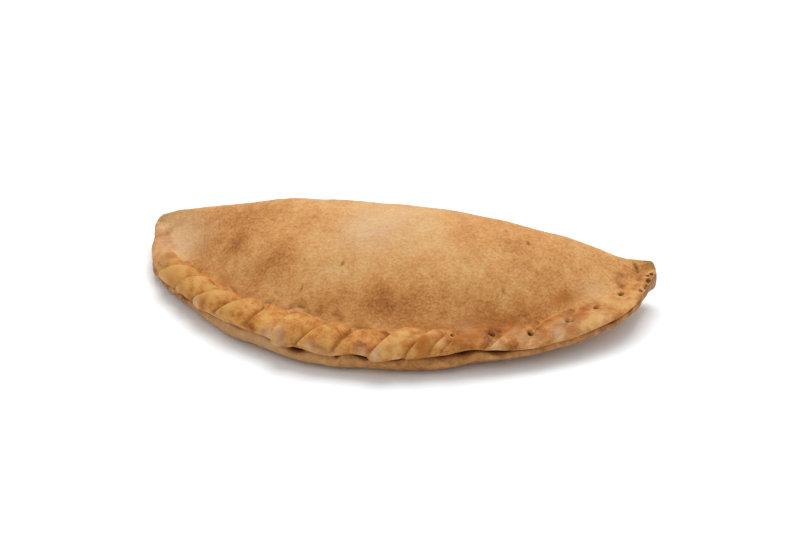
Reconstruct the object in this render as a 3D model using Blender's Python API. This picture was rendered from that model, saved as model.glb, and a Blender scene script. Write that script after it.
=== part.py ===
"""Empanada: a half-moon turnover of wheat dough, baked, with a rope-crimped rim.

A round of dough is folded over its filling, so that a rounded fold runs along the back and the two edges meet
in a seam along the front. The edge is turned over on itself in slanting folds, which make a rope that starts
plump at the left and is pressed flat towards the right-hand tip. The whole is one uncut solid.

Metres, +Z up. The fold lies at +Y, the rim at -Y, and the underside rests on Z = 0.
"""

import math

import bpy
import numpy as np

MM = 0.001

# Plan, in millimetres: half an ellipse for the rim, a low bow for the fold.
# The chord between the two corners is not quite square to the length, and the middle of the plan is the origin.
HALF_LENGTH = 77.4
RIM_DEPTH = 67.5
FOLD_BOW = 9.5
CHORD_LEFT = 13.5
CHORD_RIGHT = 7.5
MIDDLE_X = 0.65
MIDDLE_Y = 16.92
RIGHT_TAPER = 0.14
LEFT_CORNER = 1.3
# Where the rim bulges and draws in: angle of the middle, reach in angle, and share of the depth.
RIM_BULGES = ((0.65, 0.22, -0.03), (1.95, 0.40, -0.065), (2.75, 0.22, 0.10))

# Heights, in millimetres.
DOME_HEIGHT = 27.2
LEFT_END_HEIGHT = 8.4
RIGHT_END_HEIGHT = 5.9
LEFT_LIFT = 0.8
RIGHT_LIFT = 6.4
SEAM_HEIGHT = 5.6
LEFT_SEAM_HEIGHT = 4.0
RIGHT_SEAM_HEIGHT = 3.2

# The rope round the rim, in millimetres.
ROPE_WIDTH = 12.5
ROPE_CORE = 2.2
ROPE_REACH = 16.0
ROPE_NARROWING = 20.0

# Each fold of the rope: how far its middle lies along the rim from the left corner and across the rope, its height,
# its length, its half width and the angle it makes with the rim, in degrees.
ROPE_FOLDS = (
    (29.5, 7.7, 1.8, 11.0, 4.6, 50),
    (39.5, 8.0, 3.0, 14.5, 4.6, 50),
    (48.8, 8.8, 3.2, 15.5, 4.7, 56),
    (59.2, 9.5, 3.3, 17.5, 5.2, 64),
    (71.0, 9.9, 3.3, 18.5, 5.4, 62),
    (82.2, 9.9, 2.2, 17.5, 5.2, 64),
    (93.8, 9.9, 4.4, 19.5, 5.6, 60),
    (104.8, 9.9, 3.7, 20.0, 4.9, 50),
    (115.2, 9.8, 2.7, 18.0, 4.7, 52),
    (126.0, 8.6, 3.8, 19.0, 4.8, 48),
    (137.2, 9.5, 3.1, 18.5, 4.7, 46),
    (148.9, 10.0, 2.9, 19.5, 4.7, 43),
    (161.5, 9.6, 2.1, 19.0, 4.7, 36),
    (174.6, 7.6, 1.4, 15.5, 4.7, 36),
    (187.0, 7.5, 1.2, 14.0, 4.4, 36),
    (199.3, 7.2, 1.1, 13.0, 4.4, 36),
    (210.0, 5.4, 0.8, 9.5, 3.6, 36),
)

# The pits in the creases: how far along the rim and across the rope, and how deep.
PITS = (
    (144.0, 10.6, 0.8),
    (156.1, 10.6, 1.8),
    (168.6, 8.8, 2.0),
    (180.8, 7.2, 1.5),
    (192.8, 8.0, 1.6),
    (205.3, 7.4, 1.3),
)
PIT_RADIUS = 1.4

# Where the seam gapes: how far along the rim, how long, and how much wider and deeper than elsewhere.
GAPES = (
    (54.0, 5.0, 0.7),
    (76.0, 6.0, 0.5),
    (89.0, 5.0, 1.3),
    (101.0, 4.0, 0.6),
    (117.0, 5.0, 0.9),
    (128.0, 9.0, 0.6),
    (146.0, 9.0, 0.9),
    (161.0, 5.0, 0.7),
    (196.0, 7.0, 0.9),
    (211.0, 6.0, 0.7),
)
SEAM_GAP = 0.7
SEAM_DEPTH = 1.3

# Broad swells and hollows of the top: x and y of the middle, radius, and height, negative for a hollow.
SWELLS = (
    (-66.0, -1.0, 9.0, -0.9),
    (-57.0, 9.0, 12.0, 0.4),
    (-40.0, -12.0, 14.0, -0.8),
    (-24.0, -28.0, 12.0, 0.7),
    (2.0, -30.0, 16.0, -0.8),
    (30.0, -22.0, 14.0, 0.5),
    (52.0, -14.0, 12.0, -0.6),
)

RINGS = 112
AROUND = 52


def smoothstep(low, high, value):
    share = np.clip((value - low) / (high - low), 0, 1)
    return share * share * (3 - 2 * share)


def rim_line(angle):
    """Plan of the rim's outer edge: angle 0 is the left corner and pi the right-hand tip."""
    half_way = (1 - np.cos(angle)) / 2
    taper = 1 + RIGHT_TAPER * smoothstep(math.pi / 2, math.pi, angle)
    chord = CHORD_LEFT + (CHORD_RIGHT - CHORD_LEFT) * half_way
    depth = RIM_DEPTH * np.clip(np.sin(angle), 0, 1) ** taper
    depth = depth * (1 + sum(share * np.exp(-(((angle - middle) / reach) ** 2)) for middle, reach, share in RIM_BULGES))
    corner = LEFT_CORNER * smoothstep(0.9, 0.2, angle) + 0.6 * np.exp(-(((angle - 0.36) / 0.2) ** 2))
    return -HALF_LENGTH * np.cos(angle) - corner, chord - depth


def fold_line(angle):
    """Plan of the fold along the back, bowed out by the filling."""
    share = angle / math.pi
    chord = CHORD_LEFT + (CHORD_RIGHT - CHORD_LEFT) * share
    bow = FOLD_BOW * np.clip(np.sin(math.pi * share), 0, 1) ** 0.85
    corner = LEFT_CORNER * smoothstep(0.9, 0.2, angle)
    return HALF_LENGTH * (2 * share - 1) - corner, chord + bow


def rim_frame(angle):
    """Length along the rim from the left corner, and the rim's own direction there."""
    fine = np.linspace(0, math.pi, 4001)
    x, y = rim_line(fine)
    steps = np.hypot(np.diff(x), np.diff(y))
    length = np.concatenate(([0], np.cumsum(steps)))
    slope_x = np.gradient(x, length)
    slope_y = np.gradient(y, length)
    return np.interp(angle, fine, length), np.interp(angle, fine, slope_x), np.interp(angle, fine, slope_y)


def underside(angle):
    """Height of the underside: both ends curl up from the tray."""
    left = LEFT_LIFT * smoothstep(0.6, 0.0, angle)
    right = RIGHT_LIFT * smoothstep(1.75, 3.1, angle)
    return left + right


def dome_height(angle):
    """Height of the crown over the underside."""
    end = np.where(angle < math.pi / 2, LEFT_END_HEIGHT, RIGHT_END_HEIGHT)
    fall = 0.95 + 0.45 * smoothstep(1.57, 2.1, angle)
    rise = np.clip(np.sin(angle), 0, 1) ** fall
    return end + (DOME_HEIGHT - end) * rise


def end_rounding(angle):
    """0 at either tip and 1 a few millimetres in, so that the ends are rounded."""
    from_left = np.clip(angle / 0.11, 0, 1)
    from_right = np.clip((math.pi - angle) / 0.08, 0, 1)
    return np.sqrt(1 - (1 - from_left) ** 2) * np.sqrt(1 - (1 - from_right) ** 2)


def gape(along):
    """How much the seam opens beyond its usual gap."""
    return sum(wide * np.exp(-(((along - middle) / reach) ** 2)) for middle, reach, wide in GAPES)


def rope_scale(width):
    """The rope's own width over its full width: it narrows towards both ends, where the section is short."""
    return 1 - np.exp(-width / ROPE_NARROWING)


def section(angle, width, along):
    """Control points of a section, each (inwards from the rim, up from the underside), and the samples after it."""
    shrink = rope_scale(width)
    seam = SEAM_HEIGHT + (LEFT_SEAM_HEIGHT - SEAM_HEIGHT) * smoothstep(1.1, 0.5, angle)
    seam = seam + (RIGHT_SEAM_HEIGHT - SEAM_HEIGHT) * smoothstep(1.8, 2.45, angle)
    opening = gape(along)
    gap = (SEAM_GAP + opening) * shrink
    lip = 2.3 * shrink
    core = seam + ROPE_CORE - 0.8 * smoothstep(1.8, 2.6, angle)
    valley = core + 0.7
    dome = np.maximum(dome_height(angle), valley + 0.6)
    rise = dome - valley
    foot = ROPE_REACH * shrink
    rest = width - foot
    full = smoothstep(0.25, 0.85, np.sin(angle))
    points = (
        (lip + (SEAM_DEPTH + opening) * shrink, seam, 1),
        (lip, seam + gap / 2, 1),
        (1.6 * shrink, seam + 1.5, 4),
        (4.2 * shrink, core + 0.6, 5),
        (8.2 * shrink, core + 0.9, 5),
        (ROPE_WIDTH * shrink, valley, 4),
        (foot, valley + (0.12 - 0.03 * full) * rise, 4),
        (foot + 0.22 * rest, valley + (0.40 + 0.22 * full) * rise, 5),
        (foot + 0.43 * rest, valley + (0.74 + 0.17 * full) * rise, 5),
        (foot + 0.63 * rest, dome, 5),
        (foot + 0.84 * rest, 0.86 * dome, 5),
        (width, 0.42 * dome, 4),
        (foot + 0.955 * rest, 0.11 * dome, 3),
        (foot + 0.86 * rest, 0.0 * dome, 3),
        (foot + 0.62 * rest, 0.0 * dome, 2),
        (foot + 0.31 * rest, 0.0 * dome, 2),
        (0.9 * foot, 0.0 * dome, 2),
        (7.5 * shrink, 0.0 * dome, 3),
        (3.4 * shrink, 0.28 * seam, 3),
        (1.7 * shrink, 0.62 * seam, 2),
        (lip, seam - gap / 2, 1),
    )
    return points


SPANS = (1, 1, 4, 5, 5, 4, 4, 5, 5, 5, 5, 4, 3, 3, 2, 2, 2, 3, 3, 2, 1)
# Distance over the surface at the control points from the upper lip up on to the dome.
ROPE_PLACES = (1, 2, 3, 4, 5, 6, 7, 8)
ROPE_ACROSS = (0.0, 1.9, 5.3, 9.3, 13.8, 18.0, 36.0, 52.0)


def spline(points, place):
    """Point and direction on a closed Catmull-Rom curve at each place, one control point a unit."""
    count = len(points)
    first = np.floor(place).astype(int) % count
    u = place - np.floor(place)
    before, start, end, after = (
        np.take_along_axis(points, ((first + k) % count)[None], axis=0)[0] for k in (-1, 0, 1, 2)
    )
    linear = end - before
    square = 2 * before - 5 * start + 4 * end - after
    cube = 3 * start - before - 3 * end + after
    value = 0.5 * (2 * start + u * (linear + u * (square + u * cube)))
    direction = 0.5 * (linear + u * (2 * square + 3 * u * cube))
    return value, direction


def rope_relief(along, across):
    """Height of the rope's slanting folds over its core: the highest of all of them, so that they meet in creases."""
    relief = np.zeros_like(along)
    for middle, level, height, length, half_width, degrees in ROPE_FOLDS:
        tilt = math.radians(degrees)
        u = (along - middle) * math.cos(tilt) + (across - level) * math.sin(tilt)
        v = (across - level) * math.cos(tilt) - (along - middle) * math.sin(tilt)
        outer = np.sqrt(np.clip(1 - np.abs(2 * u / length) ** 2.6, 0, 1))
        inner = smoothstep(1.05, 0.25, 2 * u / length)
        ends = np.where(u < 0, outer, inner)
        sides = np.sqrt(np.clip(1 - (v / half_width) ** 2, 0, 1))
        relief = np.maximum(relief, height * ends * sides)
    for middle, level, depth in PITS:
        reach = np.hypot(along - middle, across - level) / PIT_RADIUS
        relief = relief - depth * np.exp(-(reach**2))
    return relief


def surface(angle, place):
    """Points of the crust, in millimetres, for sections at angle and places round each section."""
    inside = np.clip(angle, 0.01, math.pi - 0.01)
    rim_x, rim_y = rim_line(inside)
    fold_x, fold_y = fold_line(inside)
    width = np.hypot(fold_x - rim_x, fold_y - rim_y)
    along_rim, tangent_x, tangent_y = rim_frame(inside)
    towards_x, towards_y = (fold_x - rim_x) / width, (fold_y - rim_y) / width
    slant = towards_x * tangent_x + towards_y * tangent_y

    points = section(inside, width, along_rim)
    inwards = np.array([np.broadcast_to(p[0], angle.shape) for p in points])
    upwards = np.array([np.broadcast_to(p[1], angle.shape) for p in points])
    inward, inward_way = spline(inwards, place)
    height, height_way = spline(upwards, place)

    size = rope_scale(width)
    across = np.interp(place, ROPE_PLACES, ROPE_ACROSS)
    on_rope = smoothstep(1.0, 2.5, place)
    relief = rope_relief(along_rim + inward * slant, across) * on_rope * size
    way = np.hypot(inward_way, height_way) + 1e-9
    inward = inward - relief * height_way / way
    height = height + relief * inward_way / way

    x = rim_x + inward * towards_x
    y = rim_y + inward * towards_y
    on_top = smoothstep(5.0, 7.0, place) * smoothstep(11.5, 10.5, place)
    for middle_x, middle_y, radius, swell in SWELLS:
        far = np.hypot(x - middle_x, y - middle_y) / radius
        height = height + on_top * swell * np.exp(-(far**2))

    level = underside(angle)
    pole = 0.42 * dome_height(angle)
    height = level + np.maximum(pole + (height - pole) * end_rounding(angle), 0)

    left_x, left_y = -HALF_LENGTH - LEFT_CORNER, CHORD_LEFT
    right_x, right_y = HALF_LENGTH, CHORD_RIGHT
    rounding = np.sqrt(np.clip(np.minimum(angle, math.pi - angle) / 0.01, 0, 1))
    corner_x = np.where(angle < 1, left_x, right_x)
    corner_y = np.where(angle < 1, left_y, right_y)
    x = corner_x + (x - corner_x) * rounding
    y = corner_y + (y - corner_y) * rounding
    return x, y, height


def shape_crust(mesh):
    """Moves each point of a unit ball to its place: its rings become the sections from end to end."""
    ball = np.empty(len(mesh.vertices) * 3)
    mesh.vertices.foreach_get("co", ball)
    ball = ball.reshape(-1, 3)
    angle = np.arccos(np.clip(ball[:, 2], -1, 1))
    turn = np.arctan2(ball[:, 1], ball[:, 0]) % (2 * math.pi) / (2 * math.pi)
    turn = np.where(turn > 1 - 1e-6, 0, turn)
    samples = np.concatenate(([0], np.cumsum(SPANS)))
    place = np.interp(turn * samples[-1], samples, np.arange(len(samples)))
    x, y, z = surface(angle, place)
    made = np.stack([x + MIDDLE_X, y + MIDDLE_Y, z], axis=1) * MM
    mesh.vertices.foreach_set("co", made.ravel())
    mesh.update()


def crust_material():
    material = bpy.data.materials.new("baked_dough")
    material.use_nodes = True
    shader = material.node_tree.nodes["Principled BSDF"]
    shader.inputs["Base Color"].default_value = (0.60, 0.30, 0.11, 1)
    shader.inputs["Roughness"].default_value = 0.6
    shader.inputs["Metallic"].default_value = 0.0
    return material


def build(rings=RINGS, around=AROUND):
    for old in list(bpy.data.objects):
        bpy.data.objects.remove(old)
    bpy.ops.mesh.primitive_uv_sphere_add(segments=around, ring_count=rings, radius=1)
    crust = bpy.context.object
    crust.name = "empanada"
    crust.data.name = "empanada"
    shape_crust(crust.data)
    crust.data.materials.append(crust_material())
    crust.data.shade_smooth()
    return crust


build()
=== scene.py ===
import math

import bmesh
import bpy
import numpy as np
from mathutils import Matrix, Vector, noise


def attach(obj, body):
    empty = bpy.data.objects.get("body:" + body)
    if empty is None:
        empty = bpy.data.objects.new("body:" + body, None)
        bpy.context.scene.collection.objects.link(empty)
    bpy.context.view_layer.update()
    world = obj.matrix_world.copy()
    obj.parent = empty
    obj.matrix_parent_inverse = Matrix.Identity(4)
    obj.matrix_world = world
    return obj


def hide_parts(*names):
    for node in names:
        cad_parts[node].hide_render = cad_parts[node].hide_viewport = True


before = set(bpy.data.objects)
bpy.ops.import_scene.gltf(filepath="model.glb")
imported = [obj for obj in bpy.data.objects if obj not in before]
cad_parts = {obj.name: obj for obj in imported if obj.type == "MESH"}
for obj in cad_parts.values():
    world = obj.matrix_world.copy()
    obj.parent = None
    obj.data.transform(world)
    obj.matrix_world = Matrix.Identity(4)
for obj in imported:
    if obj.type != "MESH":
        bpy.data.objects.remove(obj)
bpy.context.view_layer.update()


# --------------------------------------------------------------------------------------------------
# The crust: one round of wheat dough folded over its filling, pinched shut along the front and baked. The
# folded side is a smooth belly along the back. In front the two edges meet in a seam, and the upper edge
# is turned over on itself in slanting folds, as a rope. It is a row of closed sections from the blunt
# left end to the raised tip, in millimetres until the mesh is made.
MM = 0.001


def smoothstep(low, high, value):
    share = np.clip((value - low) / (high - low), 0, 1)
    return share * share * (3 - 2 * share)


def bell(distance):
    return np.exp(-(distance**2))


# Plan: half an ellipse for the rim and a low bow for the fold, between corners that are not quite level.
HALF_LENGTH = 77.4
RIM_DEPTH = 67.5
FOLD_BOW = 9.5
CHORD_LEFT = 13.5
CHORD_RIGHT = 7.5
MIDDLE = (0.65, 16.92)
RIGHT_TAPER = 0.14
# How far the left corner stands out beyond the half ellipse, and a small nub on the rim just past it.
LEFT_CORNER = 1.3
CORNER_NUB = 0.6
FOLD_FULLNESS = 0.85
# Where the rim bulges and draws in: angle of the middle, reach in angle, and share of the depth.
RIM_BULGES = ((0.65, 0.22, -0.03), (1.95, 0.40, -0.065), (2.75, 0.22, 0.10))
# The thin edge itself: drawn in all along the left, full in the middle, drawn in on the right and full
# again before the tip. Each is the angle of the middle, reach in angle, and how far out the edge goes
# there, in millimetres.
EDGE_WAVES = ((0.80, 0.50, -0.8), (1.65, 0.22, 0.8), (2.35, 0.35, -0.9), (2.80, 0.15, 1.5))


def rim_line(angle):
    """Plan of the rim's outer edge: angle 0 is the left corner and pi the right-hand tip."""
    half_way = (1 - np.cos(angle)) / 2
    taper = 1 + RIGHT_TAPER * smoothstep(math.pi / 2, math.pi, angle)
    chord = CHORD_LEFT + (CHORD_RIGHT - CHORD_LEFT) * half_way
    depth = RIM_DEPTH * np.clip(np.sin(angle), 0, 1) ** taper
    depth = depth * (1 + sum(share * bell((angle - middle) / reach) for middle, reach, share in RIM_BULGES))
    corner = LEFT_CORNER * smoothstep(0.9, 0.2, angle) + CORNER_NUB * bell((angle - 0.36) / 0.2)
    wave = sum(out * bell((angle - middle) / reach) for middle, reach, out in EDGE_WAVES)
    return -(HALF_LENGTH + wave) * np.cos(angle) - corner, chord - depth - wave * np.sin(angle)


def fold_line(angle):
    """Plan of the fold along the back, bowed out by the filling."""
    share = angle / math.pi
    chord = CHORD_LEFT + (CHORD_RIGHT - CHORD_LEFT) * share
    bow = FOLD_BOW * np.clip(np.sin(math.pi * share), 0, 1) ** FOLD_FULLNESS
    corner = LEFT_CORNER * smoothstep(0.9, 0.2, angle)
    return HALF_LENGTH * (2 * share - 1) - corner, chord + bow


def rim_frame(angle):
    """Length along the rim from the left corner, and the rim's own direction there."""
    fine = np.linspace(0, math.pi, 4001)
    x, y = rim_line(fine)
    steps = np.hypot(np.diff(x), np.diff(y))
    length = np.concatenate(([0], np.cumsum(steps)))
    slope_x = np.gradient(x, length)
    slope_y = np.gradient(y, length)
    return np.interp(angle, fine, length), np.interp(angle, fine, slope_x), np.interp(angle, fine, slope_y)


# Heights: the crown, the two ends, how far each end curls up, and the seam over the lower dough.
DOME_HEIGHT = 27.2
LEFT_END_HEIGHT = 8.4
RIGHT_END_HEIGHT = 5.9
LEFT_LIFT = 0.8
RIGHT_LIFT = 6.4
SEAM_HEIGHT = 5.6
LEFT_SEAM_HEIGHT = 4.0
RIGHT_SEAM_HEIGHT = 3.2
# How fast the dome falls away to the left end, and how much faster to the right-hand tip.
DOME_FALL = 0.95
EXTRA_RIGHT_FALL = 0.45
# The very tip droops again, with its seam higher over a thicker lower layer.
TIP_DROOP = 1.2
TIP_SEAM_RISE = 2.0
# How far in from either end the sections are rounded off, in angle.
LEFT_ROUNDING = 0.05
RIGHT_ROUNDING = 0.045


def at_tip(angle):
    return smoothstep(2.7, 3.0, angle)


def underside(angle):
    left = LEFT_LIFT * smoothstep(0.6, 0.0, angle)
    right = RIGHT_LIFT * smoothstep(1.75, 3.1, angle)
    return left + right - TIP_DROOP * at_tip(angle)


def dome_height(angle):
    end = np.where(angle < math.pi / 2, LEFT_END_HEIGHT, RIGHT_END_HEIGHT)
    fall = DOME_FALL + EXTRA_RIGHT_FALL * smoothstep(1.57, 2.1, angle)
    return end + (DOME_HEIGHT - end) * np.clip(np.sin(angle), 0, 1) ** fall + TIP_DROOP * at_tip(angle)


def end_rounding(angle):
    """0 at either tip and 1 a few millimetres in, so that the ends are rounded."""
    from_left = np.clip(angle / LEFT_ROUNDING, 0, 1)
    from_right = np.clip((math.pi - angle) / RIGHT_ROUNDING, 0, 1)
    return np.sqrt(1 - (1 - from_left) ** 2) * np.sqrt(1 - (1 - from_right) ** 2)


# The rope's width and core, and how it narrows towards both ends, where the section is short.
ROPE_WIDTH = 12.5
ROPE_CORE = 2.2
ROPE_REACH = 16.0
ROPE_NARROWING = 20.0
# The core is lower by this much along the flattened right-hand half, and again at the tip.
CORE_DROP = 0.8
# How far the lips are set back from the rim, and how high the valley behind the rope is above its core.
LIP_SET_BACK = 2.3
VALLEY_RISE = 0.7
# Where the seam gapes: how far along the rim, how long, and how much wider than elsewhere.
GAPES = (
    (47.4, 2.6, 1.7),
    (75.0, 3.0, 0.7),
    (87.3, 2.6, 0.9),
    (95.3, 4.6, 2.7),
    (109.0, 0.9, 1.0),
    (116.3, 2.8, 1.1),
    (126.0, 5.0, 0.5),
    (133.5, 3.0, 0.6),
    (139.0, 3.2, 1.1),
    (146.0, 4.6, 1.8),
    (155.8, 3.2, 1.5),
    (193.7, 3.0, 1.0),
    (202.0, 1.2, 0.9),
    (207.0, 1.7, 0.9),
    (219.0, 5.0, 0.8),
)
SEAM_GAP = 0.12
SEAM_DEPTH = 0.7
GAPE_DEPTH = 1.8
# Where the seam rises or sags: how far along the rim, how long, and by how much.
SEAM_WAVES = (
    (48.0, 6.0, 0.9),
    (92.0, 4.0, 0.7),
    (74.0, 6.0, 0.5),
    (85.0, 5.0, 0.9),
    (106.5, 3.5, -0.8),
    (113.5, 4.0, 1.1),
    (131.0, 4.0, 0.4),
    (149.0, 8.0, 2.0),
    (161.0, 5.0, 0.3),
    (173.0, 5.0, 0.4),
)


def rope_scale(width):
    return 1 - np.exp(-width / ROPE_NARROWING)


def section(angle, width, along):
    """Control points of a section, (inwards, up) in millimetres, from the seam over the top and back."""
    shrink = rope_scale(width)
    seam = SEAM_HEIGHT + (LEFT_SEAM_HEIGHT - SEAM_HEIGHT) * smoothstep(1.1, 0.5, angle)
    seam = seam + (RIGHT_SEAM_HEIGHT - SEAM_HEIGHT) * smoothstep(1.8, 2.45, angle)
    seam = seam + TIP_SEAM_RISE * at_tip(angle)
    core = seam + ROPE_CORE - CORE_DROP * smoothstep(1.8, 2.6, angle) - CORE_DROP * at_tip(angle)
    seam = seam + sum(rise * bell((along - middle) / reach) for middle, reach, rise in SEAM_WAVES) * shrink
    opening = sum(wide * bell((along - middle) / reach) for middle, reach, wide in GAPES)
    gap = (SEAM_GAP + opening) * shrink
    lip = LIP_SET_BACK * shrink
    valley = core + VALLEY_RISE
    dome = np.maximum(dome_height(angle), valley + 0.6)
    rise = dome - valley
    foot = ROPE_REACH * shrink
    rest = width - foot
    full = smoothstep(0.25, 0.85, np.sin(angle))
    return (
        (lip + (SEAM_DEPTH + GAPE_DEPTH * opening) * shrink, seam - 0.2 * gap),
        (lip, seam + 0.3 * gap),
        (1.6 * shrink, (seam + core + 0.6) / 2),
        (4.2 * shrink, core + 0.6),
        (8.2 * shrink, core + 0.9),
        (ROPE_WIDTH * shrink, valley),
        (foot, valley + (0.12 - 0.03 * full) * rise),
        (foot + 0.22 * rest, valley + (0.40 + 0.22 * full) * rise),
        (foot + 0.43 * rest, valley + (0.74 + 0.17 * full) * rise),
        (foot + 0.63 * rest, dome),
        (foot + 0.84 * rest, 0.86 * dome),
        (width, 0.42 * dome),
        (foot + 0.955 * rest, 0.11 * dome),
        (foot + 0.86 * rest, 0.0),
        (foot + 0.62 * rest, 0.0),
        (foot + 0.31 * rest, 0.0),
        (0.9 * foot, 0.0),
        (7.5 * shrink, 0.0),
        (3.4 * shrink, 0.28 * seam),
        (1.7 * shrink, 0.62 * seam - 0.3 * gap),
        (lip, seam - 0.7 * gap),
    )


# How many sides the mesh has after each control point, and how many sections from end to end.
SIDES_AFTER = (3, 5, 11, 14, 13, 12, 9, 11, 12, 12, 10, 7, 5, 4, 3, 3, 3, 4, 6, 5, 4)
SECTIONS = 630


def spline(points, place):
    """Point and direction on a closed Catmull-Rom curve at each place, one control point a unit."""
    count = len(points)
    first = np.floor(place).astype(int) % count
    u = place - np.floor(place)
    before, start, end, after = (
        np.take_along_axis(points, ((first + k) % count)[None], axis=0)[0] for k in (-1, 0, 1, 2)
    )
    linear = end - before
    square = 2 * before - 5 * start + 4 * end - after
    cube = 3 * start - before - 3 * end + after
    value = 0.5 * (2 * start + u * (linear + u * (square + u * cube)))
    direction = 0.5 * (linear + u * (2 * square + 3 * u * cube))
    return value, direction


# Each fold of the rope: how far along the rim its steep left-hand edge starts at the lip and ends at the
# foot of the dome, how far that edge bows out to the left, how high the fold stands, where across the
# rope it rises from the lip, starts to narrow and ends, and how much browner than its neighbours it is.
ROPE_FOLDS = (
    (25.5, 23.0, 0.0, 3.2, 4.5, 6.5, 12.5, 0.14),
    (31.8, 44.0, -1.2, 4.4, 1.0, 5.0, 12.0, -0.66),
    (43.4, 52.0, 0.0, 4.4, 0.8, 5.5, 12.5, -0.38),
    (53.5, 62.0, -1.6, 4.0, 1.2, 6.0, 13.5, -0.06),
    (64.5, 73.0, -2.0, 3.8, 2.0, 6.0, 16.0, -0.10),
    (78.2, 77.5, -0.8, 2.4, 2.4, 6.0, 18.5, 0.32),
    (88.6, 89.6, 0.2, 4.4, -0.2, 6.0, 17.0, 0.08),
    (97.2, 107.6, -0.4, 3.8, 1.4, 6.0, 16.0, 0.00),
    (108.3, 113.5, -0.3, 2.6, 1.0, 6.0, 16.0, 0.28),
    (119.8, 130.0, -0.6, 3.8, -0.2, 6.0, 15.5, -0.10),
    (130.6, 142.0, -0.6, 3.6, 0.6, 4.0, 13.5, 0.00),
    (136.8, 147.5, 0.0, 2.0, 1.5, 4.0, 14.5, 0.10),
    (140.8, 157.5, 1.8, 3.5, 1.2, 5.5, 14.5, 0.60),
    (153.2, 166.5, 0.5, 2.1, 1.0, 5.5, 16.0, 0.22),
    (162.8, 178.0, 0.6, 1.3, 0.0, 5.0, 17.0, 0.32),
    (176.0, 190.0, 0.3, 0.8, 0.0, 4.0, 18.0, 0.28),
    (189.0, 200.0, 0.0, 0.5, 0.0, 4.0, 18.0, 0.20),
    (201.0, 208.0, 0.0, 0.3, 0.0, 3.0, 15.0, 0.15),
    (215.0, 216.0, 0.0, 0.0, 0.0, 3.0, 12.0, 0.00),
)
EDGE_AT_LIP = 3.0
EDGE_AT_FOOT = 16.0
# A fold is a rounded bar: steep up its left-hand edge, slightly lower towards its right, and round down
# into the crease against the next fold, where it is this share of its height. Towards the dome it has a
# round end.
FOLD_SHOULDER = 0.17
FOLD_TILT = 0.25
FOLD_BED = 0.25
FOLD_CORNER = 2.4
FOLD_ROUNDING = 2.8
CREASE_DEPTH = 0.35
# Painted highlight: how much paler the top of a fold is painted than its sides.
PAINTED_CREST_HIGHLIGHT = -0.16
# Distance over the surface at the sections' control points, from the upper lip up on to the dome.
ROPE_PLACES = (1, 2, 3, 4, 5, 6, 7, 8)
ROPE_ACROSS = (0.0, 1.9, 5.3, 9.3, 13.8, 18.0, 36.0, 52.0)
# Lobes of dough that bulge from the rope's lip over the lower layer, and low lumps of its flattened
# right-hand half: along the rim, across the rope, half length, half width and height.
LOBES = (
    (91.0, 1.6, 2.8, 2.2, 1.1),
    (104.0, 1.6, 5.0, 1.8, 0.9),
    (121.5, 2.6, 3.0, 3.5, 0.8),
    (56.0, 2.0, 3.0, 2.5, 0.6),
    (88.0, 1.5, 2.4, 1.6, 0.5),
    (117.5, 2.6, 2.2, 1.2, 0.5),
    (60.5, 4.2, 1.6, 1.6, 0.35),
    (93.0, 4.6, 1.8, 1.8, 0.35),
    (136.0, 5.0, 2.6, 2.2, 0.5),
    (163.5, 11.0, 2.5, 4.0, 0.5),
    (173.0, 8.0, 3.0, 3.0, 0.6),
    (186.0, 13.0, 4.0, 4.0, 0.5),
    (189.0, 5.0, 3.0, 3.0, 0.4),
    (199.0, 15.0, 4.0, 3.5, 0.5),
    (209.0, 16.0, 3.0, 4.0, 0.6),
)


def fold_edge(fold, across):
    """How far along the rim a fold's left-hand edge lies, at each distance across the rope."""
    at_lip, at_foot, bow = fold[:3]
    step = 2 * (across - EDGE_AT_LIP) / (EDGE_AT_FOOT - EDGE_AT_LIP) - 1
    return (at_lip + at_foot) / 2 + (at_foot - at_lip) / 2 * step - bow * np.clip(1 - step**2, 0, 1)


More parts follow.
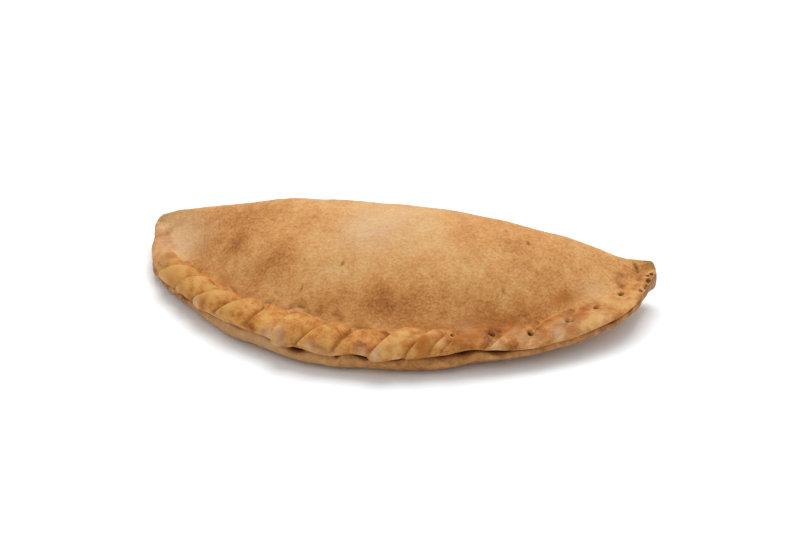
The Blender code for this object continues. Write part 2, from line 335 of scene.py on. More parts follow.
def rope_relief(along, across):
    """Fold height, painted shade in creases and round folds, and browning with painted highlights on tops."""
    heights, browning_and_crest_highlight, shading = [], [], []
    for fold, next_fold in zip(ROPE_FOLDS, ROPE_FOLDS[1:]):
        height, starts_at, flat_to, ends_at, browner = fold[3:]
        edge = fold_edge(fold, across)
        share = (along - edge) / (fold_edge(next_fold, across) - edge)
        shoulder = FOLD_SHOULDER + 0.33 * smoothstep(148.0, 172.0, edge)
        steep = np.sqrt(np.clip(1 - (1 - np.clip(share / shoulder, 0, 1)) ** 2, 0, 1))
        fallen = np.clip((share - shoulder) / (1 - shoulder), 0, 1)
        risen = np.clip((across - flat_to) / (ends_at - flat_to), 0, 1)
        from_middle = np.clip((fallen**FOLD_CORNER + risen**FOLD_CORNER) ** (1 / FOLD_CORNER), 0, 1)
        fall = (1 - FOLD_TILT * fallen) * np.sqrt(1 - from_middle**FOLD_ROUNDING)
        fall = np.maximum(fall, FOLD_BED * (1 - risen) * smoothstep(1.5, 1.0, share))
        outer = np.sqrt(np.clip(1 - np.clip((8.0 - across) / (8.0 - starts_at), 0, 1) ** 2.4, 0, 1))
        heights.append(height * steep * fall * outer)
        # Painted highlight: the top of each fold is painted paler than its sides.
        browning_and_crest_highlight.append(browner + PAINTED_CREST_HIGHLIGHT * smoothstep(0.75, 0.2, from_middle))
        # Painted shade round the edge of each fold, strongest on the side away from the dome.
        shading.append(smoothstep(0.84, 0.98, from_middle) * (0.4 + 0.6 * smoothstep(1.0, 0.6, risen)))
    heights, browning_and_crest_highlight, shading = np.array(heights), np.array(browning_and_crest_highlight), np.array(shading)
    order = np.argsort(heights, axis=0)
    highest, second = (np.take_along_axis(heights, order[rank][None], axis=0)[0] for rank in (-1, -2))
    browner = np.take_along_axis(browning_and_crest_highlight, order[-1][None], axis=0)[0] * smoothstep(0.2, 0.6, highest)
    # Painted shade where two folds meet in a crease; it also deepens the crease a little.
    crease_shade_and_scorch = bell((highest - second) / 0.45) * smoothstep(0.2, 0.8, highest)
    shade = np.take_along_axis(shading, order[-1][None], axis=0)[0] * smoothstep(0.1, 0.7, highest)
    shade = shade * smoothstep(142.0, 126.0, along)
    relief = highest - CREASE_DEPTH * crease_shade_and_scorch
    crease_shade_and_scorch = 0.82 * np.maximum(crease_shade_and_scorch, shade)
    for middle, level, half_length, half_width, height in LOBES:
        away = np.hypot((along - middle) / half_length, (across - level) / half_width)
        relief = relief + height * bell(away)
    return relief, crease_shade_and_scorch, browner


# Broad swells and hollows of the top: x and y of the middle, radius, and height, negative for a hollow.
SWELLS = (
    (-66.0, -1.0, 9.0, -0.9),
    (-40.0, -12.0, 14.0, -0.8),
    (-24.0, -28.0, 12.0, 0.7),
    (2.0, -30.0, 16.0, -0.8),
    (30.0, -22.0, 14.0, 0.5),
    (52.0, -14.0, 12.0, -0.6),
    (-49.0, 0.0, 7.0, -0.8),
    (-36.5, 10.0, 8.0, 0.7),
    (-4.0, 8.5, 7.0, -0.3),
    (15.0, 8.0, 6.0, 0.3),
    (31.0, 8.0, 8.0, 0.4),
    (51.0, 8.0, 6.0, 0.5),
    (58.0, 0.0, 6.0, -0.4),
    (65.8, 8.3, 4.0, -0.6),
    (76.0, 8.0, 4.0, 1.2),
)


# Wrinkles and creases of the top: from x, y to x, y, bow to the left of that way, depth and width.
WRINKLES = (
    (-25.8, -20.7, -16.4, -22.0, 2.2, 0.55, 0.50),
    (-22.4, -30.1, -14.5, -28.4, 3.0, 0.35, 0.40),
    (-20.5, -20.9, -14.6, -26.0, 1.4, 0.50, 0.42),
    (-12.6, -38.0, -6.8, -38.3, 0.0, 0.35, 0.38),
    (-10.5, -21.5, -6.7, -23.7, 0.3, 0.45, 0.45),
    (-3.7, -24.7, 4.0, -25.5, 0.3, 0.40, 0.40),
    (-32.5, -16.7, -25.4, -18.3, 0.3, 0.40, 0.45),
    (-43.8, -12.0, -40.5, -14.5, 0.5, 0.35, 0.40),
    (-51.0, -6.5, -48.8, -11.0, 0.6, 0.50, 0.40),
    (-45.0, -7.5, -41.7, -14.5, 1.0, 0.30, 0.32),
    (-46.5, -9.0, -43.5, -14.8, 0.9, 0.25, 0.32),
    (-76.8, 20.6, -71.8, 25.6, -0.6, 0.60, 1.30),
    (-71.8, 25.6, -67.0, 25.8, -0.3, 0.30, 1.40),
    (70.8, 23.5, 72.6, 21.6, 0.4, 0.60, 0.45),
    (66.6, 14.6, 69.3, 11.3, 0.3, 0.50, 0.75),
    (45.6, 5.1, 53.0, 6.4, 0.6, 0.18, 0.70),
    (38.0, 9.0, 47.0, 6.6, 0.8, 0.15, 0.80),
    (-24.0, 10.6, -20.3, 9.2, 0.2, 0.20, 0.35),
    (-10.9, -9.1, -9.6, -7.3, 0.1, 0.50, 0.40),
    (14.9, -29.6, 17.0, -27.0, 0.0, 0.40, 0.60),
)
# Pricks and blisters: x, y, radius, and depth, negative for a blister. First the pits where the rope's
# creases close on its right-hand half, then the scorched crumbs at the tip, then pricks and blisters of
# the dome.
PRICKS = (
    (25.9, -25.6, 0.6, 0.9),
    (36.6, -21.9, 0.65, 2.2),
    (47.2, -16.9, 0.65, 2.0),
    (56.5, -9.2, 0.8, 1.6),
    (58.0, -8.9, 0.5, 0.7),
    (63.5, -0.4, 0.6, 1.4),
    (69.6, 8.4, 0.6, 1.4),
    (75.1, 11.1, 0.5, 1.0),
    (76.9, 21.5, 0.5, 0.5),
    (75.8, 20.2, 0.4, 0.35),
    (76.5, 18.0, 0.6, 0.5),
    (77.0, 17.0, 0.5, 0.5),
    (76.2, 17.2, 0.4, 0.4),
    (76.7, 14.9, 0.5, 0.45),
    (76.2, 13.4, 0.4, 0.4),
    (41.0, 12.8, 0.7, 0.5),
    (36.9, -5.3, 0.6, 0.4),
    (-14.5, -20.8, 1.3, 0.6),
    (33.8, 16.0, 0.4, 0.3),
    (-26.0, -9.0, 0.4, 0.3),
    (-21.0, -15.0, 0.4, 0.3),
    (11.0, -11.0, 0.4, 0.3),
    (-18.0, 4.0, 0.35, 0.25),
    (52.3, -1.5, 2.4, -0.35),
    (46.6, -7.3, 2.2, -0.30),
    (63.5, 4.0, 2.6, -0.45),
    (70.5, 16.5, 2.6, -0.60),
    (-69.5, 20.0, 3.2, -0.55),
    (-72.0, 28.0, 3.0, -0.50),
)


def wrinkle_depth(x, y):
    """Depth of creases and pits, and their painted shade, darkest when narrow, or the tip crumbs' scorch."""
    depth_here = np.zeros_like(x)
    shade_and_scorch_here = np.zeros_like(x)
    for from_x, from_y, to_x, to_y, bow, depth, width in WRINKLES:
        long = math.hypot(to_x - from_x, to_y - from_y)
        way_x, way_y = (to_x - from_x) / long, (to_y - from_y) / long
        share = ((x - from_x) * way_x + (y - from_y) * way_y) / long
        within = np.clip(share, 0, 1)
        aside = (y - from_y) * way_x - (x - from_x) * way_y - bow * 4 * within * (1 - within)
        beyond = (share - within) * long
        taper = np.sqrt(np.clip(4 * within * (1 - within), 0.05, 1))
        dip = taper * bell(np.hypot(aside, beyond) / (width * (0.4 + 0.6 * taper)))
        depth_here = np.maximum(depth_here, depth * dip)
        shade_and_scorch_here = np.maximum(shade_and_scorch_here, min(depth / width, 1) * dip)
    for prick_x, prick_y, radius, depth in PRICKS:
        dip = bell(np.hypot(x - prick_x, y - prick_y) / radius)
        depth_here = depth_here + depth * dip
        # Painted shade in each pit; the scorched crumbs at the tip darken the same way.
        shade_and_scorch_here = np.maximum(shade_and_scorch_here, min(max(1.2 * depth / radius, 0), 1) * smoothstep(0.2, 0.5, dip))
    return depth_here, shade_and_scorch_here


def crust_surface(angle, place):
    """Points of the crust, for sections at angle and places round each, and where each lies on the rope."""
    inside = np.clip(angle, 0.01, math.pi - 0.01)
    rim_x, rim_y = rim_line(inside)
    fold_x, fold_y = fold_line(inside)
    width = np.hypot(fold_x - rim_x, fold_y - rim_y)
    along_rim, tangent_x, tangent_y = rim_frame(inside)
    towards_x, towards_y = (fold_x - rim_x) / width, (fold_y - rim_y) / width
    slant = towards_x * tangent_x + towards_y * tangent_y

    points = section(inside, width, along_rim)
    inwards = np.array([np.broadcast_to(p[0], angle.shape) for p in points])
    upwards = np.array([np.broadcast_to(p[1], angle.shape) for p in points])
    inward, inward_way = spline(inwards, place)
    height, height_way = spline(upwards, place)

    across = np.interp(place, ROPE_PLACES, ROPE_ACROSS)
    along = along_rim + inward * slant
    on_rope = smoothstep(0.9, 2.2, place) * smoothstep(12, 9, place)
    relief, crease_shade_and_scorch, browner = rope_relief(along, across)
    relief = relief * on_rope * rope_scale(width)
    way = np.hypot(inward_way, height_way) + 1e-9
    inward = inward - relief * height_way / way
    height = height + relief * inward_way / way

    x = rim_x + inward * towards_x
    y = rim_y + inward * towards_y
    on_top = smoothstep(5.0, 7.0, place) * smoothstep(11.5, 10.5, place)
    for middle_x, middle_y, radius, swell in SWELLS:
        height = height + on_top * swell * bell(np.hypot(x - middle_x, y - middle_y) / radius)

    creased, dent_shade_and_scorch = wrinkle_depth(x + MIDDLE[0], y + MIDDLE[1])
    on_crust = smoothstep(1.5, 2.5, place) * smoothstep(11.5, 10.5, place)
    height = height - creased * on_crust
    # Painted shade from the rope's creases and the top's wrinkles and pits, with the tip's scorched crumbs.
    crease_shade_and_scorch = np.maximum(crease_shade_and_scorch * on_rope, dent_shade_and_scorch * on_crust)

    pole = 0.42 * dome_height(angle)
    height = underside(angle) + np.maximum(pole + (height - pole) * end_rounding(angle), 0)

    rounding = np.sqrt(np.clip(np.minimum(angle, math.pi - angle) / 0.01, 0, 1))
    corner_x = np.where(angle < 1, -HALF_LENGTH - LEFT_CORNER, HALF_LENGTH)
    corner_y = np.where(angle < 1, CHORD_LEFT, CHORD_RIGHT)
    x = corner_x + (x - corner_x) * rounding + MIDDLE[0]
    y = corner_y + (y - corner_y) * rounding + MIDDLE[1]
    return x, y, height, along, across, crease_shade_and_scorch, browner * on_rope


ball = bmesh.new()
bmesh.ops.create_uvsphere(ball, u_segments=sum(SIDES_AFTER), v_segments=SECTIONS, radius=1)
crust_mesh = bpy.data.meshes.new("crust")
ball.to_mesh(crust_mesh)
ball.free()

points = np.empty(len(crust_mesh.vertices) * 3)
crust_mesh.vertices.foreach_get("co", points)
points = points.reshape(-1, 3)
angle = np.arccos(np.clip(points[:, 2], -1, 1))
turn = np.arctan2(points[:, 1], points[:, 0]) % (2 * math.pi) / (2 * math.pi)
turn = np.where(turn > 1 - 1e-6, 0, turn)
sides = np.concatenate(([0], np.cumsum(SIDES_AFTER)))
place = np.interp(turn * sides[-1], sides, np.arange(len(sides)))
x, y, z, along, across, crease_shade_and_scorch, browner = crust_surface(angle, place)

# The baked skin is not smooth: soft lumps a thumb wide, ripples of a few millimetres, and a fine
# orange-peel grain, each (size, depth). The underside, which lay on the tray, has almost none. The rough
# edge of the lower layer has the most, and the flattened right-hand half of the rope has more than the
# dome.
SKIN_RELIEF = ((24.0, 0.35), (7.0, 0.16), (2.2, 0.07))
LAYER_SHIFT = 31
UNDERSIDE_SHARE = 0.15
LOWER_EDGE_SHARE = 2.6
FLAT_ROPE_SHARE = 1.8
# Knobs and dents: x, y and z of the middle, radius, and how far they stand out: the left-hand corner,
# where the pinched end of the seam was tucked under, and the notch below it.
KNOBS = (
    (-77.5, 30.5, 7.0, 4.0, 0.9),
    (-78.5, 22.0, 5.5, 2.2, -0.7),
)
crust_mesh.vertices.foreach_set("co", (np.stack([x, y, z], axis=1) * MM).ravel())
crust_mesh.update()
normals = np.empty(len(crust_mesh.vertices) * 3)
crust_mesh.vertex_normals.foreach_get("vector", normals)
normals = normals.reshape(-1, 3)
on_top = smoothstep(0.5, 2.0, place) * smoothstep(13.0, 11.0, place)
on_lower_edge = smoothstep(16.5, 18.0, place)
on_skin = on_top + UNDERSIDE_SHARE + LOWER_EDGE_SHARE * on_lower_edge
flat_rope = FLAT_ROPE_SHARE * smoothstep(148.0, 165.0, along)
on_skin = on_skin + flat_rope * smoothstep(1.5, 2.5, place) * smoothstep(7.0, 5.5, place)
lumps = []
for index, (size, depth) in enumerate(SKIN_RELIEF):
    shift = index * LAYER_SHIFT
    rises = [noise.noise(Vector((px / size + shift, py / size, pz / size))) for px, py, pz in zip(x, y, z)]
    lumps.append(np.array(rises))
swell = sum(depth * lump for (size, depth), lump in zip(SKIN_RELIEF, lumps)) * on_skin
swell = swell * smoothstep(0.0, 0.08, angle) * smoothstep(math.pi, math.pi - 0.08, angle)
for knob_x, knob_y, knob_z, radius, height in KNOBS:
    away = np.sqrt((x - knob_x) ** 2 + (y - knob_y) ** 2 + (z - knob_z) ** 2)
    swell = swell + height * bell(away / radius)
x, y, z = (value + swell * normals[:, axis] for axis, value in enumerate((x, y, z)))
z = np.maximum(z, 0)
crust_mesh.vertices.foreach_set("co", (np.stack([x, y, z], axis=1) * MM).ravel())
crust_mesh.update()

# How the oven left it, and some painted shade, as places on the plan: x, y, reach and how much browner,
# or paler if negative.
BAKED_AND_SHADED_PATCHES = (
    (-71.0, 20.0, 12.0, -0.10),
    (-50.0, 13.0, 9.0, 0.16),
    (-46.5, 5.5, 3.5, 0.22),
    (-75.5, 28.0, 5.0, -0.18),
    (-57.0, 17.0, 5.0, 0.12),
    (-39.0, 14.0, 10.0, 0.10),
    (-29.0, -3.5, 4.5, 0.22),
    (-35.5, -8.0, 5.0, 0.18),
    (-32.0, 2.0, 9.0, 0.06),
    (-5.0, 12.0, 18.0, -0.12),
    (14.0, 10.0, 12.0, -0.10),
    (-5.5, -17.5, 5.5, 0.20),
    (2.0, -17.0, 5.5, 0.26),
    (9.5, -16.5, 5.5, 0.18),
    # The next three are painted shade in the valley where the right-hand rope meets the dome.
    (37.5, -15.5, 3.5, 0.30),
    (27.5, -22.0, 2.6, 0.35),
    (44.0, -11.0, 3.0, 0.22),
    (-9.0, -7.0, 10.0, -0.06),
    (24.0, -4.0, 9.0, -0.10),
    (14.0, -17.5, 8.0, 0.10),
    (24.0, -15.0, 6.0, 0.14),
    (34.0, -14.0, 6.0, 0.20),
    (47.0, -6.5, 5.0, 0.20),
    (53.5, -1.0, 4.0, 0.20),
    (20.0, 13.0, 7.0, 0.12),
    (25.7, -19.6, 1.8, 0.30),
    (34.0, 10.0, 8.0, 0.06),
    (57.0, 13.0, 8.0, -0.05),
    (42.0, 12.0, 14.0, 0.05),
    (62.0, -4.0, 7.0, 0.08),
    (68.4, 16.3, 1.4, 0.40),
    (69.2, 12.0, 1.3, 0.55),
    (72.4, 21.8, 0.9, 0.40),
    (74.0, 18.0, 5.0, 0.26),
)
BAKE_LEVEL = 0.42
# How much the ripples and the orange-peel grain show in its colour: all over, on the rope, on the lower edge.
RIPPLE_BROWNING = 0.12
PEEL_BROWNING = 0.10
ROPE_RIPPLE_BROWNING = 0.26
ROPE_PEEL_BROWNING = 0.34
LOWER_PEEL_BROWNING = 0.30
FOLD_BROWNING = 0.6
# How much browner the lower edge is: along all of it, more on the right, and more by the left corner.
LOWER_BAKE = 0.05
LOWER_RIGHT_BAKE = 0.26
LOWER_LEFT_BAKE = 0.22
# Toasted spots on the rope and just above it, which the oven caught first: along the rim, across the rope,
# reach and strength.
TOASTED_SPOTS = (
    (28.6, 8.4, 2.2, 1.4),
    (44.0, 9.0, 2.2, 0.35),
    (53.0, 11.0, 1.8, 1.6),
    (52.5, 18.5, 3.5, 0.7),
    (58.8, 3.1, 1.6, 1.0),
    (39.5, 1.8, 2.4, 0.65),
    (47.0, 1.5, 1.6, 0.7),
    (51.0, 1.5, 1.8, 0.7),
    (60.0, 13.5, 2.5, 0.4),
    (92.1, 2.5, 1.5, 1.2),
    (97.8, 19.5, 2.6, 0.8),
    (104.5, 19.5, 2.2, 0.7),
    (164.5, 17.5, 2.0, 1.0),
    (112.0, 14.5, 2.6, 0.5),
    (112.0, 19.0, 3.5, 0.5),
    (134.9, 4.2, 2.3, 1.7),
    (139.8, 7.5, 2.0, 0.5),
    (137.0, 13.0, 3.0, 0.8),
    (144.6, 5.6, 1.8, 1.0),
    (149.6, 5.8, 2.0, 1.2),
    (147.5, 11.0, 2.2, 0.9),
    (146.0, 3.0, 1.8, 0.7),
    (152.0, 9.5, 1.8, 0.7),
    (131.0, 17.0, 3.0, 0.5),
    (139.5, 16.5, 3.0, 0.6),
    (150.0, 17.0, 3.5, 0.8),
    (158.5, 16.5, 3.5, 0.8),
    (153.0, 13.0, 3.0, 0.5),
    (163.2, 8.4, 2.2, 1.2),
    (161.8, 12.0, 2.2, 0.8),
    (164.0, 14.5, 2.0, 0.7),
    (170.5, 5.0, 2.0, 0.7),
    (167.9, 24.4, 2.5, 0.7),
    (173.3, 21.5, 2.4, 0.6),
    (182.5, 24.0, 3.0, 0.7),
    (180.4, 4.9, 2.1, 1.6),
    (174.5, 9.0, 1.8, 0.6),
    (176.0, 12.5, 2.6, 0.7),
    (187.3, 9.5, 2.2, 0.8),
    (186.2, 25.8, 3.0, 0.7),
    (195.0, 7.0, 2.6, 0.4),
    (184.5, 9.0, 1.6, 0.6),
    (172.5, 15.5, 1.8, 0.7),
    (191.5, 15.0, 2.0, 0.6),
    (203.0, 10.0, 2.2, 0.5),
    (177.5, 2.2, 1.6, 0.6),
    (216.0, 5.0, 1.5, 0.8),
    (219.5, 4.5, 1.4, 1.6),
    (223.0, 6.0, 1.4, 1.3),
    (215.5, 2.5, 1.3, 1.3),
)
# Where flour from the board still clings: x, y, reach and strength.
FLOURED_PATCHES = (
    (-70.0, 17.0, 9.0, 0.5),
    (-76.0, 27.0, 4.0, 0.5),
    (-74.0, 6.0, 2.5, 0.5),
    (-64.0, 14.0, 7.0, 0.35),
    (-6.0, 4.0, 7.0, 0.6),
    (2.0, 9.0, 9.0, 0.2),
    (0.0, 17.0, 13.0, 0.25),
    (62.0, 6.0, 4.0, 0.35),
    (-22.8, -35.5, 1.5, 0.9),
    (-14.0, -38.9, 1.6, 0.8),
    (-10.0, -39.4, 1.6, 0.8),
    (-6.0, -39.3, 1.5, 0.8),
    (2.0, -38.5, 1.8, 0.5),
    (6.0, -40.0, 2.0, 0.9),
    (-27.0, -32.5, 1.8, 0.8),
    (-53.0, -17.5, 1.8, 0.8),
    (29.0, -18.5, 2.6, 0.4),
    (24.0, -30.0, 2.0, 0.15),
    (39.0, -26.0, 2.6, 0.35),
    (47.5, -20.5, 2.8, 0.45),
    (54.8, -15.0, 2.6, 0.38),
    (61.0, -11.0, 2.6, 0.3),
    (56.0, -18.0, 2.6, 0.4),
    (56.5, -10.0, 2.2, 0.45),
    (43.0, -20.0, 2.2, 0.35),
    (66.0, -5.0, 2.6, 0.25),
)


def patched(patches, first, second):
    """Strength of soft round patches at each point, each patch (place, place, reach, strength)."""
    return sum(much * bell(np.hypot(first - pa, second - pb) / reach) for pa, pb, reach, much in patches)


bake_and_painted_light = BAKE_LEVEL + patched(BAKED_AND_SHADED_PATCHES, x, y)
ripples, peel = lumps[1], lumps[2]
# A fold's browning carries the painted highlight on its top as well.
bake_and_painted_light = bake_and_painted_light + RIPPLE_BROWNING * ripples + PEEL_BROWNING * peel + FOLD_BROWNING * browner
lower = LOWER_BAKE + LOWER_RIGHT_BAKE * smoothstep(100.0, 140.0, along)
lower = lower + LOWER_LEFT_BAKE * smoothstep(65.0, 45.0, along)
bake_and_painted_light = bake_and_painted_light + lower * on_lower_edge
bake_and_painted_light = bake_and_painted_light + (ROPE_RIPPLE_BROWNING * ripples + ROPE_PEEL_BROWNING * peel) * smoothstep(6.0, 5.0, place)
bake_and_painted_light = bake_and_painted_light + LOWER_PEEL_BROWNING * peel * on_lower_edge
toast = patched(TOASTED_SPOTS, along, across) * (place < 9)
gold = smoothstep(18.0, 14.0, across) * smoothstep(0.5, 3.0, across) * (place < 7)
gold = gold * (0.55 + 0.45 * smoothstep(150.0, 110.0, along)) * smoothstep(228.0, 205.0, along)
flour = patched(FLOURED_PATCHES, x, y)
flour = flour * (1 - 0.6 * smoothstep(16.5, 17.5, place))
raw = on_lower_edge * (0.35 + 0.65 * smoothstep(135.0, 75.0, along)) * smoothstep(45.0, 65.0, along)
gaping = np.clip(sum(wide * bell((along - middle) / reach) for middle, reach, wide in GAPES) / 2, 0, 1)
# Painted shade inside the seam, darker where it gapes.
seam_shade = smoothstep(1.1, 0.4, place) + smoothstep(20.2, 20.7, place)
seam_shade = seam_shade + gaping * smoothstep(19.7, 20.1, place)
crease_shade_and_scorch = np.maximum(crease_shade_and_scorch, seam_shade)
layers = {"bake_and_painted_light": bake_and_painted_light, "toast": toast, "gold": gold, "flour": flour, "raw": raw, "crease_shade_and_scorch": crease_shade_and_scorch}
for name, values in layers.items():
    layer = crust_mesh.attributes.new(name, "FLOAT", "POINT")
    layer.data.foreach_set("value", np.clip(values, 0, 1))

crust = bpy.data.objects.new("crust", crust_mesh)
bpy.context.scene.collection.objects.link(crust)
crust_mesh.shade_smooth()

# Its colour runs from pale dough through gold to brown, mottled at every scale, with orange-brown toasted
# spots and a bloom of flour. Shade is painted in brown down the creases, the seam, the wrinkles and pits
# and round each fold, near black in the deepest; the scorched crumbs at the tip darken the same way. The
# skin is dry and dull, a little glossier where it is browned. Lengths are metres from here on.
PALE_DOUGH = (0.62, 0.37, 0.155, 1)
GOLDEN_DOUGH = (0.55, 0.252, 0.075, 1)
BROWN_DOUGH = (0.38, 0.138, 0.026, 1)
DARK_DOUGH = (0.21, 0.068, 0.012, 1)
TOASTED_DOUGH = (0.37, 0.112, 0.010, 1)
EGG_TINT = (0.93, 0.79, 0.51, 1)
RAW_DOUGH = (0.43, 0.235, 0.105, 1)
FLOUR_WHITE = (0.60, 0.41, 0.255, 1)
SHADE_AND_SCORCH_BROWN = (0.24, 0.078, 0.010, 1)
DEEP_SHADE_AND_SCORCH = (0.055, 0.017, 0.005, 1)
# How far up the range from pale to dark each colour lies.
PALE_AT = 0.12
GOLDEN_AT = 0.42
BROWN_AT = 0.74
DARK_AT = 0.98
# The mottling: its sizes, how strong each is, and what keeps their sum centred.
SPECKLE_SIZE = 0.0008
GRAIN_SIZE = 0.0028
CLOUD_SIZE = 0.012
SPECKLE_SHARE = 0.85
GRAIN_SHARE = 0.38
CLOUD_SHARE = 0.24
MOTTLING_MIDDLE = 0.735
SPECK_SPACING = 0.0042
SPECK_STRENGTH = 0.6
GRAIN_HEIGHT = 0.0004
PALE_ROUGHNESS = 0.74
BROWN_POLISH = -0.22

crust_finish = bpy.data.materials.new("baked_dough")
crust_finish.use_nodes = True
nodes = crust_finish.node_tree.nodes
links = crust_finish.node_tree.links
dough = nodes["Principled BSDF"]
dough.inputs["Specular IOR Level"].default_value = 0.18
where = nodes.new("ShaderNodeTexCoord").outputs["Object"]


def layer_value(name):
    reader = nodes.new("ShaderNodeAttribute")
    reader.attribute_name = name
    return reader.outputs["Fac"]


def mottle(size, detail, roughness):
    """Noise with features of this size, in metres."""
    texture = nodes.new("ShaderNodeTexNoise")
    texture.inputs["Scale"].default_value = 1 / size
    texture.inputs["Detail"].default_value = detail
    texture.inputs["Roughness"].default_value = roughness
    links.new(where, texture.inputs["Vector"])
    return texture.outputs["Fac"]


def worked(operation, first, second, third=None):
    """A Math node; each input is a socket or a number."""
    node = nodes.new("ShaderNodeMath")
    node.operation = operation
    for socket, value in zip(node.inputs, (first, second, third)):
        if isinstance(value, bpy.types.NodeSocket):
            links.new(value, socket)
        elif value is not None:
            socket.default_value = value
    return node.outputs["Value"]


def colour_socket(sockets, name):
    return [socket for socket in sockets if socket.name == name and socket.type == "RGBA"][0]


def blended(share, under, over, blend="MIX"):
    """A colour mix; under and over are sockets or colours."""
    node = nodes.new("ShaderNodeMix")
    node.data_type = "RGBA"
    node.blend_type = blend
    links.new(share, node.inputs["Factor"])
    for name, value in (("A", under), ("B", over)):
        socket = colour_socket(node.inputs, name)
        if isinstance(value, bpy.types.NodeSocket):
            links.new(value, socket)
        else:
            socket.default_value = value
    return colour_socket(node.outputs, "Result")


speckle = mottle(SPECKLE_SIZE, 2.0, 0.65)
grain = mottle(GRAIN_SIZE, 3.0, 0.6)
cloud = mottle(CLOUD_SIZE, 3.0, 0.55)
tone = worked("MULTIPLY_ADD", speckle, SPECKLE_SHARE, layer_value("bake_and_painted_light"))
tone = worked("MULTIPLY_ADD", grain, GRAIN_SHARE, tone)
tone = worked("MULTIPLY_ADD", cloud, CLOUD_SHARE, tone)
tone = worked("SUBTRACT", tone, MOTTLING_MIDDLE)
shades = nodes.new("ShaderNodeValToRGB")
links.new(tone, shades.inputs["Fac"])
ramp = shades.color_ramp.elements
ramp[0].position = PALE_AT
ramp[0].color = PALE_DOUGH
ramp[1].position = DARK_AT
ramp[1].color = DARK_DOUGH
ramp.new(GOLDEN_AT).color = GOLDEN_DOUGH
ramp.new(BROWN_AT).color = BROWN_DOUGH
gilded = blended(layer_value("gold"), shades.outputs["Color"], EGG_TINT, "MULTIPLY")
toast_share = worked("MULTIPLY", layer_value("toast"), worked("ADD", grain, 0.45))
toasted = blended(toast_share, gilded, TOASTED_DOUGH)
under_edge = blended(worked("MULTIPLY", layer_value("raw"), 0.7), toasted, RAW_DOUGH)
dusting = worked("MULTIPLY", layer_value("flour"), worked("MULTIPLY_ADD", grain, 2.4, -0.55))
floured = blended(dusting, under_edge, FLOUR_WHITE)
# Painted shade: creases, seam, wrinkles and pits turn brown, the deepest near black; the scorched crumbs too.
shaded = blended(worked("MULTIPLY", layer_value("crease_shade_and_scorch"), 0.85), floured, SHADE_AND_SCORCH_BROWN)
creased = blended(worked("MULTIPLY_ADD", layer_value("crease_shade_and_scorch"), 5.0, -4.1), shaded, DEEP_SHADE_AND_SCORCH)
# Scattered specks of bran and scorched flour, less than a millimetre wide.
specks = nodes.new("ShaderNodeTexVoronoi")
specks.inputs["Scale"].default_value = 1 / SPECK_SPACING
links.new(where, specks.inputs["Vector"])
apart = nodes.new("ShaderNodeSeparateColor")
links.new(specks.outputs["Color"], apart.inputs["Color"])
near = nodes.new("ShaderNodeMapRange")
near.inputs["From Min"].default_value = 0.13
near.inputs["From Max"].default_value = 0.04
links.new(specks.outputs["Distance"], near.inputs["Value"])
chosen = worked("MULTIPLY", near.outputs["Result"], worked("GREATER_THAN", apart.outputs["Red"], 0.72))
specked = blended(worked("MULTIPLY", chosen, SPECK_STRENGTH), creased, DARK_DOUGH)
links.new(specked, dough.inputs["Base Color"])
links.new(worked("MULTIPLY_ADD", tone, BROWN_POLISH, PALE_ROUGHNESS), dough.inputs["Roughness"])
bump = nodes.new("ShaderNodeBump")
bump.inputs["Strength"].default_value = 0.5
bump.inputs["Distance"].default_value = GRAIN_HEIGHT
links.new(worked("ADD", speckle, grain), bump.inputs["Height"])
links.new(bump.outputs["Normal"], dough.inputs["Normal"])
crust_mesh.materials.append(crust_finish)

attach(crust, "root")
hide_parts("empanada")


# --------------------------------------------------------------------------------------------------
# The floor: a plain matt white board, much larger than the view, level with the crust's underside.
FLOOR_SIZE = 6.0
FLOOR_WHITE = (0.95, 0.95, 0.95, 1)
FLOOR_ROUGHNESS = 0.9

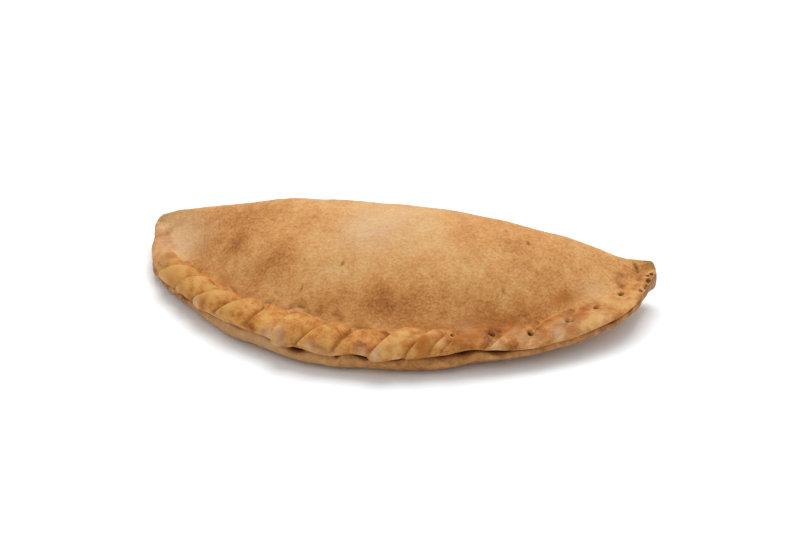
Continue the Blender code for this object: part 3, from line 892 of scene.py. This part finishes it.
board = bmesh.new()
bmesh.ops.create_grid(board, x_segments=1, y_segments=1, size=FLOOR_SIZE / 2)
floor_mesh = bpy.data.meshes.new("floor")
board.to_mesh(floor_mesh)
board.free()
floor = bpy.data.objects.new("floor", floor_mesh)
bpy.context.scene.collection.objects.link(floor)
floor_finish = bpy.data.materials.new("floor_white")
floor_finish.use_nodes = True
matt_paint = floor_finish.node_tree.nodes["Principled BSDF"]
matt_paint.inputs["Base Color"].default_value = FLOOR_WHITE
matt_paint.inputs["Roughness"].default_value = FLOOR_ROUGHNESS
floor_mesh.materials.append(floor_finish)


# --------------------------------------------------------------------------------------------------
# The light: an even white surround, and one large soft box above and behind.
SURROUND_STRENGTH = 0.80
SURROUND_COLOUR = (0.92, 0.975, 1.0, 1)
SOFT_BOX_PLACE = (0.0, 0.37, 0.79)
SOFT_BOX_SIZE = 0.7
SOFT_BOX_POWER = 5.8

surround = bpy.data.worlds.new("surround")
surround.use_nodes = True
sky = surround.node_tree.nodes["Background"]
sky.inputs["Color"].default_value = SURROUND_COLOUR
sky.inputs["Strength"].default_value = SURROUND_STRENGTH
bpy.context.scene.world = surround
soft_box_light = bpy.data.lights.new("soft_box", "AREA")
soft_box_light.energy = SOFT_BOX_POWER
soft_box_light.size = SOFT_BOX_SIZE
soft_box = bpy.data.objects.new("soft_box", soft_box_light)
bpy.context.scene.collection.objects.link(soft_box)
soft_box.location = SOFT_BOX_PLACE
soft_box.rotation_euler = (-Vector(SOFT_BOX_PLACE)).to_track_quat("-Z", "Y").to_euler()


# --------------------------------------------------------------------------------------------------
# The camera: a long lens, 28 degrees above the board and 12 degrees round to the right of square on.
CAMERA_PLACE = (0.16821, -0.76037, 0.42252)
CAMERA_AIM = (0.00083, 0.01986, 0.00626)
CAMERA_LENS = 134.3
CAMERA_FILM_WIDTH = 36
NEAREST_SEEN = 0.01

camera_lens = bpy.data.cameras.new("camera")
camera_lens.sensor_width = CAMERA_FILM_WIDTH
camera_lens.lens = CAMERA_LENS
camera_lens.clip_start = NEAREST_SEEN
camera = bpy.data.objects.new("camera", camera_lens)
bpy.context.scene.collection.objects.link(camera)
camera.location = CAMERA_PLACE
camera.rotation_euler = (Vector(CAMERA_AIM) - Vector(CAMERA_PLACE)).to_track_quat("-Z", "Y").to_euler()
bpy.context.scene.camera = camera
bpy.context.scene.view_settings.view_transform = "Standard"
